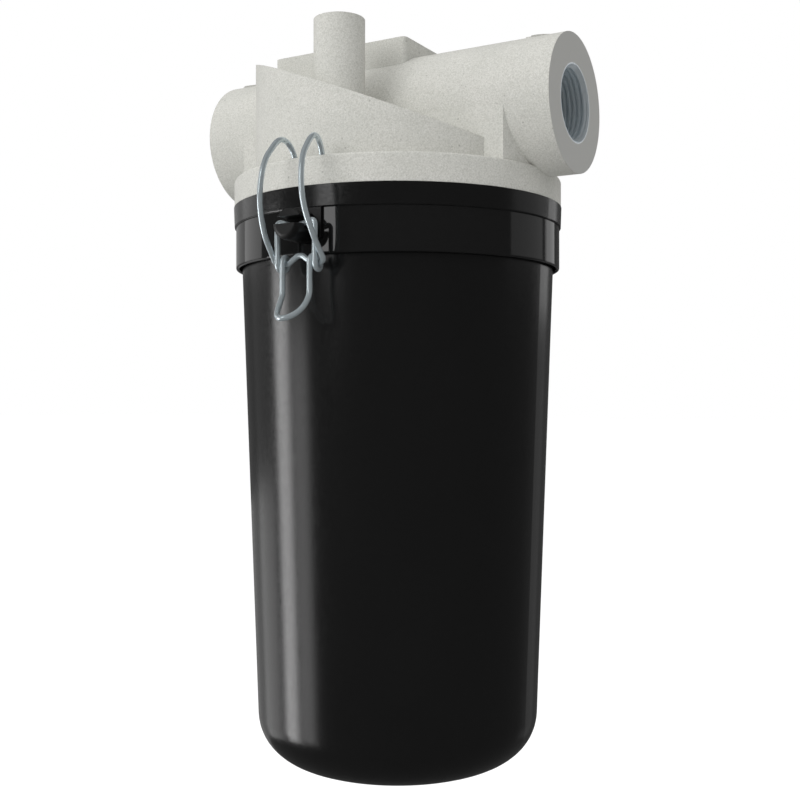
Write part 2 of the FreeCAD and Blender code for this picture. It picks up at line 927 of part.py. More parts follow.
def round_wire(edges, radius):
    """A solid round wire: half of it is swept along the edges, and the other half is its mirror."""
    path = Part.Wire(edges)
    first = edges[0]
    start = first.valueAt(first.FirstParameter)
    direction = first.tangentAt(first.FirstParameter)
    section = Part.Wire(Part.Circle(start, direction, radius).toShape())
    half = path.makePipeShell([section], True, False)
    other = half.mirror(Vector(), Vector(1, 0, 0))
    return half.fuse(other).removeSplitter()


def place_wire(name, side, shape):
    """A bent wire has no flat outline, so its shape is made in code from the sheet's sizes."""
    item = document.addObject("Part::Feature", name)
    item.Shape = shape
    name_part(to_side(item, side), name)


def lever_eye():
    """One full turn that moves inwards by more than the wire's thickness."""
    reach = size("Sizes.lever_axis_reach - Sizes.eye_radius")
    height = -size("Sizes.eye_height")
    radius = size("Sizes.eye_radius")
    wide = size("Sizes.lever_half_width")
    narrow = size("Sizes.handle_half_width")

    def point_at(turn):
        share = (1 - math.cos(turn / 2)) / 2
        aside = wide + (narrow - wide) * share
        return latch_point(reach + radius * math.cos(turn), height - radius * math.sin(turn), aside)

    return curve_along(point_at, 2 * math.pi, 12)


def finger_loop():
    """Half of the lever's lower end: a quarter of an ellipse that curls away from the bowl."""
    reach = size("Sizes.lever_axis_reach")
    top = -size("Sizes.handle_bottom")
    half_width = size("Sizes.handle_half_width")
    length = size("Sizes.finger_length")
    first_angle = math.radians(size("Sizes.finger_start_angle"))
    last_angle = math.radians(size("Sizes.finger_end_angle"))
    bend = (last_angle - first_angle) / length

    def point_at(turn):
        along = length * math.sin(turn)
        angle = first_angle + bend * along
        out = (math.cos(first_angle) - math.cos(angle)) / bend
        down = (math.sin(angle) - math.sin(first_angle)) / bend
        return latch_point(reach + out, top - down, half_width * math.cos(turn))

    return curve_along(point_at, math.pi / 2, 8)


def make_latch_lever(side):
    """One wire: vee-shaped cross-bar in two halves, legs, coiled eyes, handle and finger loop."""
    reach = size("Sizes.lever_axis_reach")
    axis = -size("Sizes.lever_axis_height")
    vee = size("Sizes.lever_vee")
    wide = size("Sizes.lever_half_width")
    narrow = size("Sizes.handle_half_width")
    eye = -size("Sizes.eye_height")
    gap = size("Sizes.lever_end_gap / 2")
    bend = size("Sizes.wire_bend")
    leg = bent_wire(
        [
            latch_point(reach, axis - vee + 2 * vee * gap / wide, gap),
            latch_point(reach, axis + vee, wide),
            latch_point(reach, eye, wide),
        ],
        size("Sizes.lever_corner_bend"),
    )
    loop = finger_loop()
    loop_top = latch_point(reach, -size("Sizes.handle_bottom"), narrow)
    onward = loop[0].tangentAt(loop[0].FirstParameter)
    loop_start = loop_top + onward * bend / 2
    handle_end = loop_top + Vector(0, 0, bend / 2)
    loop = [edge.translated(onward * bend / 2) for edge in loop]
    handle = Part.makeLine(latch_point(reach, eye, narrow), handle_end)
    knee = curve_edge(handle_end, loop_start, Vector(0, 0, -1), onward)
    wire = round_wire(leg + lever_eye() + [handle, knee] + loop, size("Sizes.wire_radius"))
    place_wire(f"latch_lever_{side}", side, wire)


def arm_station(name):
    """The place of one station of the bail's arm."""
    return latch_point(*(size(f"Sizes.{name}_{way}") for way in ("reach", "height", "aside")))


def make_latch_bail(side):
    """One wire: two hook tips, bowed arms and a cross-bar that runs through the lever's eyes."""
    reach = size("Sizes.lever_axis_reach - Sizes.eye_radius")
    eye = -size("Sizes.eye_height")
    wide = size("Sizes.bail_half_width")
    bend = size("Sizes.wire_bend")
    tip = arm_station("tip")
    stations = [arm_station(name) for name in ARM_STATIONS]
    heel = latch_point(reach, eye, wide)
    to_heel = (heel - stations[-1]).normalize()
    arm_end = heel - to_heel * (2 * bend)
    arm = curve_through([tip] + stations + [arm_end], Vector(0, 0, 1), to_heel)
    inner = size("Sizes.bail_bar_half_width")
    rise = size("Sizes.bail_bar_rise")
    bar = bent_wire(
        [
            arm_end,
            heel,
            latch_point(reach, eye, inner),
            latch_point(reach, eye + rise, size("Sizes.wire_radius")),
            latch_point(reach, eye + rise, 0),
        ],
        bend,
    )
    place_wire(f"latch_bail_{side}", side, round_wire(arm + bar, size("Sizes.wire_radius")))


# ---------------------------------------------------------------- element and its rod


def make_deflector():
    """A hub plate and two rings joined by slanted vanes that set the air turning."""
    hub_inner = "Sizes.column_radius + Sizes.deflector_fit"
    ring_inner = "Sizes.deflector_ring_inner"
    ring_outer = "Sizes.deflector_ring_inner + Sizes.deflector_sheet"
    disc, _ = revolved_body(
        "deflector_disc",
        [
            (hub_inner, "0"),
            (ring_outer, "0"),
            (ring_outer, "-Sizes.deflector_bottom"),
            (ring_inner, "-Sizes.deflector_bottom"),
            (ring_inner, "-Sizes.deflector_plate"),
            ("Sizes.deflector_hub_radius", "-Sizes.deflector_plate"),
            ("Sizes.deflector_hub_radius", "-Sizes.cap_top"),
            (hub_inner, "-Sizes.cap_top"),
        ],
    )
    outer_ring = ring(
        "deflector_outer_ring",
        "Sizes.deflector_ring_outer - Sizes.deflector_sheet",
        "Sizes.deflector_ring_outer",
        "-Sizes.deflector_bottom",
        "Sizes.deflector_bottom - Sizes.deflector_fit",
    )
    vane_space = ring(
        "vane_space",
        "Sizes.deflector_ring_inner + Sizes.deflector_sheet / 2",
        "Sizes.deflector_ring_outer - Sizes.deflector_sheet / 2",
        "-Sizes.deflector_bottom + Sizes.deflector_sheet",
        "Sizes.deflector_bottom - 2 * Sizes.deflector_sheet",
    )
    vanes = []
    count = int(size("Sizes.vane_count"))
    height = size("2 * Sizes.deflector_bottom")
    slant = FreeCAD.Rotation(Vector(1, 0, 0), size("Sizes.vane_angle"))
    for number in range(count):
        turn = FreeCAD.Rotation(Vector(0, 0, 1), 360 * number / count)
        vane = document.addObject("Part::Box", f"vane_{number}")
        bind(
            vane,
            {
                "Length": "Sizes.deflector_ring_outer - Sizes.deflector_ring_inner",
                "Width": "Sizes.deflector_sheet",
                "Height": "2 * Sizes.deflector_bottom",
            },
        )
        corner = turn.multVec(Vector(size("Sizes.deflector_ring_inner"), 0, 0))
        lift = turn.multVec(slant.multVec(Vector(0, 0, -height / 2)))
        middle = Vector(0, 0, -height / 4)
        vane.Placement = FreeCAD.Placement(corner + lift + middle, turn.multiply(slant))
        vanes.append(vane)
    trimmed = common("vanes_trimmed", [fuse("vanes", vanes), vane_space])
    name_part(fuse("deflector", [disc, outer_ring, trimmed]), "deflector")


def make_element_caps():
    """Two pressed caps. Each has an outer skirt round the sleeve and an inner skirt in the core."""
    outer = "Sizes.cap_radius"
    outer_skirt = "Sizes.cap_radius - Sizes.cap_skirt_sheet"
    core_inner = "Sizes.core_radius - Sizes.core_sheet - 0.1"
    inner_skirt = f"{core_inner} - Sizes.cap_skirt_sheet"
    caps = (
        ("element_top_cap", "-Sizes.cap_top", "-", "Sizes.element_mouth_radius"),
        ("element_bottom_cap", "-Sizes.element_bottom", "+", "Sizes.rod_hole_radius"),
    )
    for label, outside, inward, hole in caps:
        inside = f"{outside} {inward} Sizes.cap_sheet"
        skirt_end = f"{outside} {inward} Sizes.cap_skirt"
        body, _ = revolved_body(
            label,
            [
                (hole, outside),
                (outer, outside),
                (outer, skirt_end),
                (outer_skirt, skirt_end),
                (outer_skirt, inside),
                (core_inner, inside),
                (core_inner, skirt_end),
                (inner_skirt, skirt_end),
                (inner_skirt, inside),
                (hole, inside),
            ],
        )
        name_part(body, label)


INSIDE_LENGTH = "Sizes.element_bottom - Sizes.cap_top - 2 * Sizes.cap_sheet"
INSIDE_BOTTOM = "-Sizes.element_bottom + Sizes.cap_sheet"


def make_element_core():
    """A perforated tube. Each hole tool runs straight through both walls."""
    inner = "Sizes.core_radius - Sizes.core_sheet"
    tube = ring("core_tube", inner, "Sizes.core_radius", INSIDE_BOTTOM, INSIDE_LENGTH)
    rows = int(size("Sizes.core_hole_rows"))
    around = int(size("Sizes.core_holes_round"))
    bottom = size(INSIDE_BOTTOM)
    spacing = size(INSIDE_LENGTH) / (rows + 1)
    drills = []
    for row in range(rows):
        for number in range(around // 2):
            angle = 360 / around * (number + row % 2 / 2)
            turn = FreeCAD.Rotation(Vector(0, 0, 1), angle)
            drill = document.addObject("Part::Cylinder", f"core_drill_{row}_{number}")
            bind(drill, {"Radius": "Sizes.core_hole_radius", "Height": "2 * Sizes.core_radius + 4"})
            reach = size("Sizes.core_radius + 2")
            start = turn.multVec(Vector(-reach, 0, 0)) + Vector(0, 0, bottom + spacing * (row + 1))
            drill.Placement = FreeCAD.Placement(start, turn.multiply(ALONG_X))
            drills.append(drill)
    name_part(cut("element_core", tube, fuse("core_drills", drills)), "element_core")


def make_element_media():
    """One sheet folded into pleats all round: a closed zigzag wall, made in code."""
    count = int(size("Sizes.pleat_count"))
    inner = size("Sizes.pleat_inner_radius")
    outer = size("Sizes.pleat_outer_radius")
    sheet_thickness = size("Sizes.pleat_sheet")
    step = math.pi / count
    flank = math.atan2(outer - inner, (outer + inner) / 2 * step)
    shift = sheet_thickness / math.cos(flank)
    outside = []
    inside = []
    bottom = size(INSIDE_BOTTOM) + 0.1
    for number in range(2 * count + 1):
        angle = step * (number % (2 * count))
        ray = Vector(math.cos(angle), math.sin(angle), 0)
        peak = number % 2 == 0
        outside.append(ray * (outer if peak else inner + shift) + Vector(0, 0, bottom))
        inside.append(ray * (outer - shift if peak else inner) + Vector(0, 0, bottom))
    face = Part.Face([Part.makePolygon(outside), Part.makePolygon(inside)])
    face.validate()
    item = document.addObject("Part::Feature", "element_media")
    item.Shape = face.extrude(Vector(0, 0, size(INSIDE_LENGTH) - 0.2))
    name_part(item, "element_media")


def make_element_sleeve():
    sleeve = ring(
        "element_sleeve",
        "Sizes.sleeve_inner_radius",
        "Sizes.sleeve_outer_radius",
        f"{INSIDE_BOTTOM} + 0.1",
        f"({INSIDE_LENGTH} - 0.2)",
    )
    name_part(sleeve, "element_sleeve")


def make_washers():
    """The flat seals and the washer of the rod's stack, each sitting on the next."""
    stack = "-Sizes.element_bottom - Sizes.element_seal_height"
    pieces = (
        (
            "element_top_gasket",
            "Sizes.element_mouth_radius",
            "Sizes.column_radius",
            "-Sizes.cap_top",
            "Sizes.cap_top - Sizes.column_drop",
        ),
        (
            "element_seal",
            "Sizes.rod_radius + Sizes.rod_fit",
            "Sizes.washer_radius",
            stack,
            "Sizes.element_seal_height",
        ),
        (
            "element_washer",
            "Sizes.rod_hole_radius",
            "Sizes.washer_radius",
            f"{stack} - Sizes.baffle_sheet - Sizes.washer_height",
            "Sizes.washer_height",
        ),
    )
    for label, inner, outer, bottom, height in pieces:
        name_part(ring(label, inner, outer, bottom, f"({height})"), label)


def make_baffle():
    """A dished plate with holes near its rim. It keeps the water below it still."""
    top = "-Sizes.element_bottom - Sizes.element_seal_height"
    under = f"{top} - Sizes.baffle_sheet"
    body, dish = revolved_body(
        "quiet_zone_baffle",
        [
            ("Sizes.rod_hole_radius", top),
            ("Sizes.baffle_flat_radius", top),
            ("Sizes.baffle_radius", f"{top} - Sizes.baffle_drop"),
            ("Sizes.baffle_radius", f"{under} - Sizes.baffle_drop"),
            ("Sizes.baffle_flat_radius", under),
            ("Sizes.rod_hole_radius", under),
        ],
    )
    sketch = body_sketch(body, "baffle_hole_outline", "XY_Plane")
    middle = Vector(size("Sizes.baffle_radius * 0.8"), 0, 0)
    radius = size("Sizes.baffle_slot_radius")
    sketch.addGeometry(Part.Circle(middle, Vector(0, 0, 1), radius), False)
    limits = (
        (Sketcher.Constraint("Radius", 0, radius), "Sizes.baffle_slot_radius"),
        (Sketcher.Constraint("DistanceX", -1, 1, 0, 3, middle.x), "Sizes.baffle_radius * 0.8"),
    )
    for limit, formula in limits:
        number = sketch.addConstraint(limit)
        sketch.setExpression(f"Constraints[{number}]", formula)
    sketch.addConstraint(Sketcher.Constraint("PointOnObject", 0, 3, -1))
    hole = body.newObject("PartDesign::Pocket", "baffle_hole")
    hole.Profile = sketch
    hole.Type = "ThroughAll"
    hole.Midplane = True
    document.recompute()
    pattern = body.newObject("PartDesign::PolarPattern", "baffle_holes")
    pattern.Originals = [hole]
    pattern.Axis = (sketch, ["N_Axis"])
    pattern.Angle = 360
    pattern.Occurrences = int(size("Sizes.baffle_slots"))
    body.Tip = pattern
    document.recompute()
    if pattern.Shape.Volume >= dish.Shape.Volume:
        raise RuntimeError("the baffle's holes removed nothing")
    name_part(body, "quiet_zone_baffle")


def make_tie_rod():
    """A rod with a plain waist between its two threaded ends."""
    top_thread = "Sizes.tube_height"
    low_thread = "-Sizes.element_bottom + 6"
    body, _ = revolved_body(
        "tie_rod",
        [
            ("0", "Sizes.rod_top"),
            ("Sizes.rod_radius - 1", "Sizes.rod_top"),
            ("Sizes.rod_radius", "Sizes.rod_top - 1"),
            ("Sizes.rod_radius", top_thread),
            ("Sizes.rod_shank_radius", f"{top_thread} - 1"),
            ("Sizes.rod_shank_radius", f"{low_thread} + 1"),
            ("Sizes.rod_radius", low_thread),
            ("Sizes.rod_radius", "-Sizes.rod_bottom + 1"),
            ("Sizes.rod_radius - 1", "-Sizes.rod_bottom"),
            ("0", "-Sizes.rod_bottom"),
        ],
    )
    name_part(body, "tie_rod")


def make_tie_rod_locknut():
    bottom = "Sizes.tube_height + Sizes.passage_radius - Sizes.nut_height"
    blank = hexagon("locknut_blank", "Sizes.nut_flats", "Sizes.nut_height", ("0", "0", bottom))
    hole = cylinder(
        "locknut_hole",
        "Sizes.rod_radius + Sizes.rod_fit",
        "Sizes.nut_height + 2",
        ("0", "0", f"{bottom} - 1"),
    )
    name_part(cut("tie_rod_locknut", blank, hole), "tie_rod_locknut")


def make_element_nut():
    """A wing nut: a tapered hub and two wings."""
    stack = "Sizes.element_seal_height + Sizes.baffle_sheet + Sizes.washer_height"
    top = f"(-Sizes.element_bottom - ({stack}))"
    bottom = f"{top} - Sizes.wing_hub_height"
    hub = cone(
        "wing_hub",
        "Sizes.wing_hub_radius - 1",
        "Sizes.wing_hub_radius",
        "Sizes.wing_hub_height",
        ("0", "0", bottom),
    )
    wings = box(
        "wings",
        ("2 * Sizes.wing_reach", "Sizes.wing_thickness", "Sizes.wing_height"),
        ("-Sizes.wing_reach", "-Sizes.wing_thickness / 2", f"{top} - 3 - Sizes.wing_height"),
    )

    def corner(edge):
        return abs(edge.BoundBox.YLength - size("Sizes.wing_thickness")) < 0.001

    rounded_wings = rounded("wings_rounded", wings, "Sizes.wing_corner", corner)
    hole = cylinder(
        "wing_hole",
        "Sizes.rod_radius + Sizes.rod_fit",
        "Sizes.wing_hub_height + Sizes.wing_height",
        ("0", "0", f"{bottom} - 4"),
    )
    name_part(cut("element_nut", fuse("wing_nut_blank", [hub, rounded_wings]), hole), "element_nut")


# ---------------------------------------------------------------- drain

FLOOR = "(-Sizes.bowl_bottom + Sizes.bowl_floor)"
DRAIN_SEAT = f"({FLOOR} + Sizes.drain_gasket_height)"
DRAIN_TOP = f"({DRAIN_SEAT} + Sizes.drain_flange_height)"
DRAIN_PORT = f"({DRAIN_TOP} - Sizes.drain_port_drop)"


def make_drain_gasket():
    gasket = ring(
        "drain_gasket",
        "Sizes.drain_hole_radius",
        "Sizes.drain_flange_radius",
        FLOOR,
        "Sizes.drain_gasket_height",
    )
    name_part(gasket, "drain_gasket")


def make_drain_body():
    """A flanged brass fitting. A side port in its flange meets the stem's port when it is open."""
    seat_bottom = f"{DRAIN_TOP} - Sizes.drain_seat_depth"
    body, _ = revolved_body(
        "drain_body_turned",
        [
            ("Sizes.drain_seat_radius", DRAIN_TOP),
            ("Sizes.drain_flange_radius", DRAIN_TOP),
            ("Sizes.drain_flange_radius", DRAIN_SEAT),
            ("Sizes.drain_shank_radius", DRAIN_SEAT),
            ("Sizes.drain_shank_radius", "-Sizes.drain_body_bottom"),
            ("Sizes.drain_bore_radius", "-Sizes.drain_body_bottom"),
            ("Sizes.drain_bore_radius", seat_bottom),
            ("Sizes.drain_seat_radius", seat_bottom),
        ],
    )
    port = cylinder(
        "drain_side_port",
        "Sizes.drain_port_radius",
        "2 * Sizes.drain_flange_radius + 2",
        ("-Sizes.drain_flange_radius - 1", "0", DRAIN_PORT),
        ALONG_X,
    )
    name_part(cut("drain_body", body, port), "drain_body")


def make_drain_nut():
    bottom = "-Sizes.bowl_bottom - Sizes.drain_nut_height"
    blank = hexagon(
        "drain_nut_blank", "Sizes.drain_nut_flats", "Sizes.drain_nut_height", ("0", "0", bottom)
    )
    hole = cylinder(
        "drain_nut_hole",
        "Sizes.drain_shank_radius + Sizes.rod_fit",
        "Sizes.drain_nut_height + 2",
        ("0", "0", f"{bottom} - 1"),
    )
    name_part(cut("drain_nut", blank, hole), "drain_nut")


def make_drain_stem():
    """A hollow stem. Its cross port is a quarter turn away from the fitting's port when closed."""
    seat_bottom = f"{DRAIN_TOP} - Sizes.drain_seat_depth + Sizes.stem_fit"
    head_radius = "Sizes.drain_seat_radius - Sizes.stem_fit"
    stem_radius = "Sizes.drain_bore_radius - Sizes.stem_fit"
    body, _ = revolved_body(
        "drain_stem_turned",
        [
            ("0", f"{DRAIN_TOP} - 0.2"),
            (head_radius, f"{DRAIN_TOP} - 0.2"),
            (head_radius, seat_bottom),
            (stem_radius, seat_bottom),
            (stem_radius, "-Sizes.knob_recess_bottom"),
            ("Sizes.stem_end_radius", "-Sizes.knob_recess_bottom"),
            ("Sizes.stem_end_radius", "-Sizes.knob_bottom"),
            ("0", "-Sizes.knob_bottom"),
        ],
    )
    groove_radius = f"{stem_radius} - 2 * Sizes.stem_seal_cord_radius"
    half = "(Sizes.stem_seal_cord_radius + 0.2)"
    turned_groove(
        body,
        "stem_seal_groove",
        [
            (groove_radius, f"-Sizes.stem_seal_height + {half}"),
            ("Sizes.drain_bore_radius + 1", f"-Sizes.stem_seal_height + {half}"),
            ("Sizes.drain_bore_radius + 1", f"-Sizes.stem_seal_height - {half}"),
            (groove_radius, f"-Sizes.stem_seal_height - {half}"),
        ],
    )
    channel = cylinder(
        "stem_channel",
        "Sizes.stem_channel_radius",
        f"{DRAIN_PORT} + Sizes.knob_bottom + 1",
        ("0", "0", "-Sizes.knob_bottom - 1"),
    )
    port = cylinder(
        "stem_port",
        "Sizes.drain_port_radius",
        "4 * Sizes.drain_seat_radius",
        ("0", "-2 * Sizes.drain_seat_radius", DRAIN_PORT),
        ALONG_Y,
    )
    drilled = cut("drain_stem_drilled", body, channel)
    name_part(cut("drain_stem", drilled, port), "drain_stem")


def make_drain_stem_seal():
    ring_radius = "Sizes.drain_bore_radius - Sizes.stem_fit - Sizes.stem_seal_cord_radius"
    seal = torus("drain_stem_seal", ring_radius, "Sizes.stem_seal_cord_radius - 0.01", "0")
    bind(seal, {"Placement.Base.z": "-Sizes.stem_seal_height - Sizes.mount_height"})
    seal.Label = "drain_stem_seal"


def make_drain_knob():
    """A cup-shaped knob with grip flutes. It hides the nut and is pressed on the stem's end."""
    body, turned = revolved_body(
        "drain_knob_turned",
        [
            ("Sizes.knob_cavity_radius", "-Sizes.knob_top"),
            ("Sizes.knob_radius", "-Sizes.knob_top"),
            ("Sizes.knob_radius", "-Sizes.knob_bottom"),
            ("Sizes.stem_end_radius", "-Sizes.knob_bottom"),
            ("Sizes.stem_end_radius", "-Sizes.knob_recess_bottom"),
            ("Sizes.knob_recess_radius", "-Sizes.knob_recess_bottom"),
            ("Sizes.knob_recess_radius", "-Sizes.knob_cavity_bottom"),
            ("Sizes.knob_cavity_radius", "-Sizes.knob_cavity_bottom"),
        ],
    )
    round_edges(
        body, "knob_edge", turned, "Sizes.knob_edge", [("Sizes.knob_radius", "-Sizes.knob_bottom")]
    )
    count = int(size("Sizes.knob_grips"))
    flutes = []
    for number in range(count):
        angle = 2 * math.pi * number / count
        flute = cylinder(
            f"knob_flute_{number}",
            "Sizes.knob_grip_radius",
            "Sizes.knob_bottom - Sizes.knob_top + 2",
            (
                f"{math.cos(angle)} * Sizes.knob_grip_reach",
                f"{math.sin(angle)} * Sizes.knob_grip_reach",
                "-Sizes.knob_bottom - 1",
            ),
        )
        flutes.append(flute)
    name_part(cut("drain_knob", body, fuse("knob_flutes", flutes)), "drain_knob")


# ---------------------------------------------------------------- whole filter

NODES = [
    "head",
    "bowl",
    "bowl_seal",
    "latch_band",
    "latch_lug_front",
    "latch_lug_rear",
    "latch_lever_front",
    "latch_lever_rear",
    "latch_bail_front",
    "latch_bail_rear",
    "deflector",
    "element_top_gasket",
    "element_top_cap",
    "element_core",
    "element_media",
    "element_sleeve",
    "element_bottom_cap",
    "element_seal",
    "quiet_zone_baffle",
    "element_washer",
    "element_nut",
    "tie_rod",
    "tie_rod_locknut",
    "drain_gasket",
    "drain_body",
    "drain_nut",
    "drain_stem",
    "drain_stem_seal",
    "drain_knob",
]


def build():
    fill_sheet()
    make_head()
    make_bowl()
    make_bowl_seal()
    make_latch_band()
    for side in ("front", "rear"):
        make_latch_lug(side)
        make_latch_lever(side)
        make_latch_bail(side)
    make_deflector()
    make_element_caps()
    make_element_core()
    make_element_media()
    make_element_sleeve()
    make_washers()
    make_baffle()
    make_tie_rod()
    make_tie_rod_locknut()
    make_element_nut()
    make_drain_gasket()
    make_drain_body()
    make_drain_nut()
    make_drain_stem()
    make_drain_stem_seal()
    make_drain_knob()
    document.recompute()


def check_objects():
    """Stop if any object failed, any cut removed nothing, or any sub-part isn't one valid solid."""
    for item in document.Objects:
        if "Invalid" in item.State or "Error" in item.State:
            raise RuntimeError(f"{item.Name} ({item.Label}) failed: {item.State}")
        if item.TypeId == "Part::Cut" and item.Shape.Volume > item.Base.Shape.Volume - 0.01:
            raise RuntimeError(f"{item.Name} removed nothing")
    parts = []
    for label in NODES:
        (item,) = document.getObjectsByLabel(label)
        if item.Shape.isNull() or not item.Shape.isValid():
            raise RuntimeError(f"{label} has no valid shape")
        if len(item.Shape.Solids) != 1:
            raise RuntimeError(f"{label} has {len(item.Shape.Solids)} solids")
        parts.append(item)
    return parts


def write_parts(parts):
    os.makedirs("parts", exist_ok=True)
    for item in parts:
        item.Shape.exportStep(os.path.join("parts", f"{item.Label}.step"))


build()
write_parts(check_objects())
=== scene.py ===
"""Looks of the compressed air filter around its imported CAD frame: materials, light, floor and camera.

Everything is in metres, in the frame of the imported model: +Z up, +X to the outlet port, the origin
on the top mounting face, the front latch at -Y.
"""

import json
import math

import bpy
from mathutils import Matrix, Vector


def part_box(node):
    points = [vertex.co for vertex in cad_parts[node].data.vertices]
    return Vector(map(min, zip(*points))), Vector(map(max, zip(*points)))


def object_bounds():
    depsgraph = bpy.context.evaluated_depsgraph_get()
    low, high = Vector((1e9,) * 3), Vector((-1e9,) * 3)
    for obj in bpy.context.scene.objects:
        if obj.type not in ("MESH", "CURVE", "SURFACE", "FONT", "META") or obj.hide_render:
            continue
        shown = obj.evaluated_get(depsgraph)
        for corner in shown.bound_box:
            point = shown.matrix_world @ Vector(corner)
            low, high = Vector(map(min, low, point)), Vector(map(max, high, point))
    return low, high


MM = 0.001

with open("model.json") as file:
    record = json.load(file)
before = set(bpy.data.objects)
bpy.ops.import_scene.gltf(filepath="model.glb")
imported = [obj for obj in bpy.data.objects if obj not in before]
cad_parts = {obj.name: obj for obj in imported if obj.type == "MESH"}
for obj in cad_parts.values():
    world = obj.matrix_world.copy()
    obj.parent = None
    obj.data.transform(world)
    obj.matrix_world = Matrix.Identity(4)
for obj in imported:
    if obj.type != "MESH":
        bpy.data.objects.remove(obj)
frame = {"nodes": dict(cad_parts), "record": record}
nodes = frame["nodes"]
mounts = {mount["name"]: mount for mount in frame["record"]["mounts"]}
cad_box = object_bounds()


# ---------------------------------------------------------------- node helpers


class Recipe:
    """A new node material, with short names for the nodes that the finishes are built from."""

    def __init__(self, name):
        self.material = bpy.data.materials.new(name)
        self.material.use_nodes = True
        self.tree = self.material.node_tree
        self.shader = self.tree.nodes["Principled BSDF"]
        self.place = self.add("ShaderNodeTexCoord").outputs["Object"]

    def add(self, kind, **settings):
        node = self.tree.nodes.new(kind)
        for name, value in settings.items():
            setattr(node, name, value)
        return node

    def feed(self, socket, value):
        """Link a value that comes from another node, or set a plain one."""
        if isinstance(value, bpy.types.NodeSocket):
            self.tree.links.new(value, socket)
        else:
            socket.default_value = value

    def set(self, **inputs):
        """Set the shader's inputs, with underscores for the spaces in their names."""
        for name, value in inputs.items():
            self.feed(self.shader.inputs[name.replace("_", " ")], value)

    def stretched(self, factors):
        """The place on the object, stretched along each axis."""
        node = self.add("ShaderNodeMapping")
        self.feed(node.inputs["Vector"], self.place)
        node.inputs["Scale"].default_value = factors
        return node.outputs["Vector"]

    def noise(self, size, detail=2.0, contrast=0.5, place=None):
        """Noise whose grains are about the given size."""
        node = self.add("ShaderNodeTexNoise")
        self.feed(node.inputs["Vector"], place or self.place)
        node.inputs["Scale"].default_value = 1 / size
        node.inputs["Detail"].default_value = detail
        node.inputs["Roughness"].default_value = contrast
        return node.outputs["Fac"]

    def cells(self, size):
        """Distance to the nearest of many scattered points, in cell sizes."""
        node = self.add("ShaderNodeTexVoronoi")
        self.feed(node.inputs["Vector"], self.place)
        node.inputs["Scale"].default_value = 1 / size
        return node.outputs["Distance"]

    def remap(self, value, low, high, to_low=0.0, to_high=1.0):
        """A value stretched from one range to another, and held inside the second."""
        node = self.add("ShaderNodeMapRange")
        self.feed(node.inputs["Value"], value)
        limits = {"From Min": low, "From Max": high, "To Min": to_low, "To Max": to_high}
        for name, limit in limits.items():
            node.inputs[name].default_value = limit
        return node.outputs["Result"]

    def calculate(self, operation, first, second=0.0):
        node = self.add("ShaderNodeMath", operation=operation)
        self.feed(node.inputs[0], first)
        self.feed(node.inputs[1], second)
        return node.outputs["Value"]

    def blend(self, share, first, second):
        """The first colour where the share is 0, and the second where it is 1."""
        node = self.add("ShaderNodeMix", data_type="RGBA")
        self.feed(node.inputs["Factor"], share)
        for name, colour in (("A", first), ("B", second)):
            sockets = [s for s in node.inputs if s.name == name and s.type == "RGBA"]
            value = colour if isinstance(colour, bpy.types.NodeSocket) else (*colour, 1)
            self.feed(sockets[0], value)
        return next(s for s in node.outputs if s.type == "RGBA")

    def shade(self, share, first, second):
        """The first number where the share is 0, and the second where it is 1."""
        node = self.add("ShaderNodeMix", data_type="FLOAT")
        self.feed(node.inputs["Factor"], share)
        self.feed(node.inputs["A"], first)
        self.feed(node.inputs["B"], second)
        return node.outputs["Result"]

    def soft_edges(self, radius):
        """A normal that rounds sharp edges over the given radius."""
        node = self.add("ShaderNodeBevel", samples=4)
        node.inputs["Radius"].default_value = radius
        return node.outputs["Normal"]

    def bump(self, height, depth, normal=None, strength=1.0):
        node = self.add("ShaderNodeBump")
        self.feed(node.inputs["Height"], height)
        self.feed(node.inputs["Strength"], strength)
        node.inputs["Distance"].default_value = depth
        if normal:
            self.feed(node.inputs["Normal"], normal)
        return node.outputs["Normal"]


def finish_nodes(names, recipe):
    """Give a material to CAD nodes."""
    for name in names:
        slots = nodes[name].data.materials
        slots.clear()
        slots.append(recipe.material)


# ---------------------------------------------------------------- finishes


def port_share(recipe, radius, depth):
    """1 inside the two threaded ports and 0 elsewhere, with the distance from the middle of the tube."""
    radius_fade = 0.1 * MM
    depth_fade = 0.5 * MM
    split = recipe.add("ShaderNodeSeparateXYZ")
    recipe.feed(split.inputs["Vector"], recipe.place)
    axis_height = mounts["outlet_port"]["pos_m"][2]
    up = recipe.calculate("SUBTRACT", split.outputs["Z"], axis_height)
    across = recipe.calculate("MULTIPLY", split.outputs["Y"], split.outputs["Y"])
    upward = recipe.calculate("MULTIPLY", up, up)
    distance = recipe.calculate("SQRT", recipe.calculate("ADD", across, upward))
    along = recipe.calculate("ABSOLUTE", split.outputs["X"])
    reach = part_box("head")[1].x
    inside = recipe.remap(distance, radius, radius + radius_fade, 1, 0)
    near = recipe.remap(along, reach - depth - depth_fade, reach - depth)
    return recipe.calculate("MULTIPLY", inside, near), along, reach


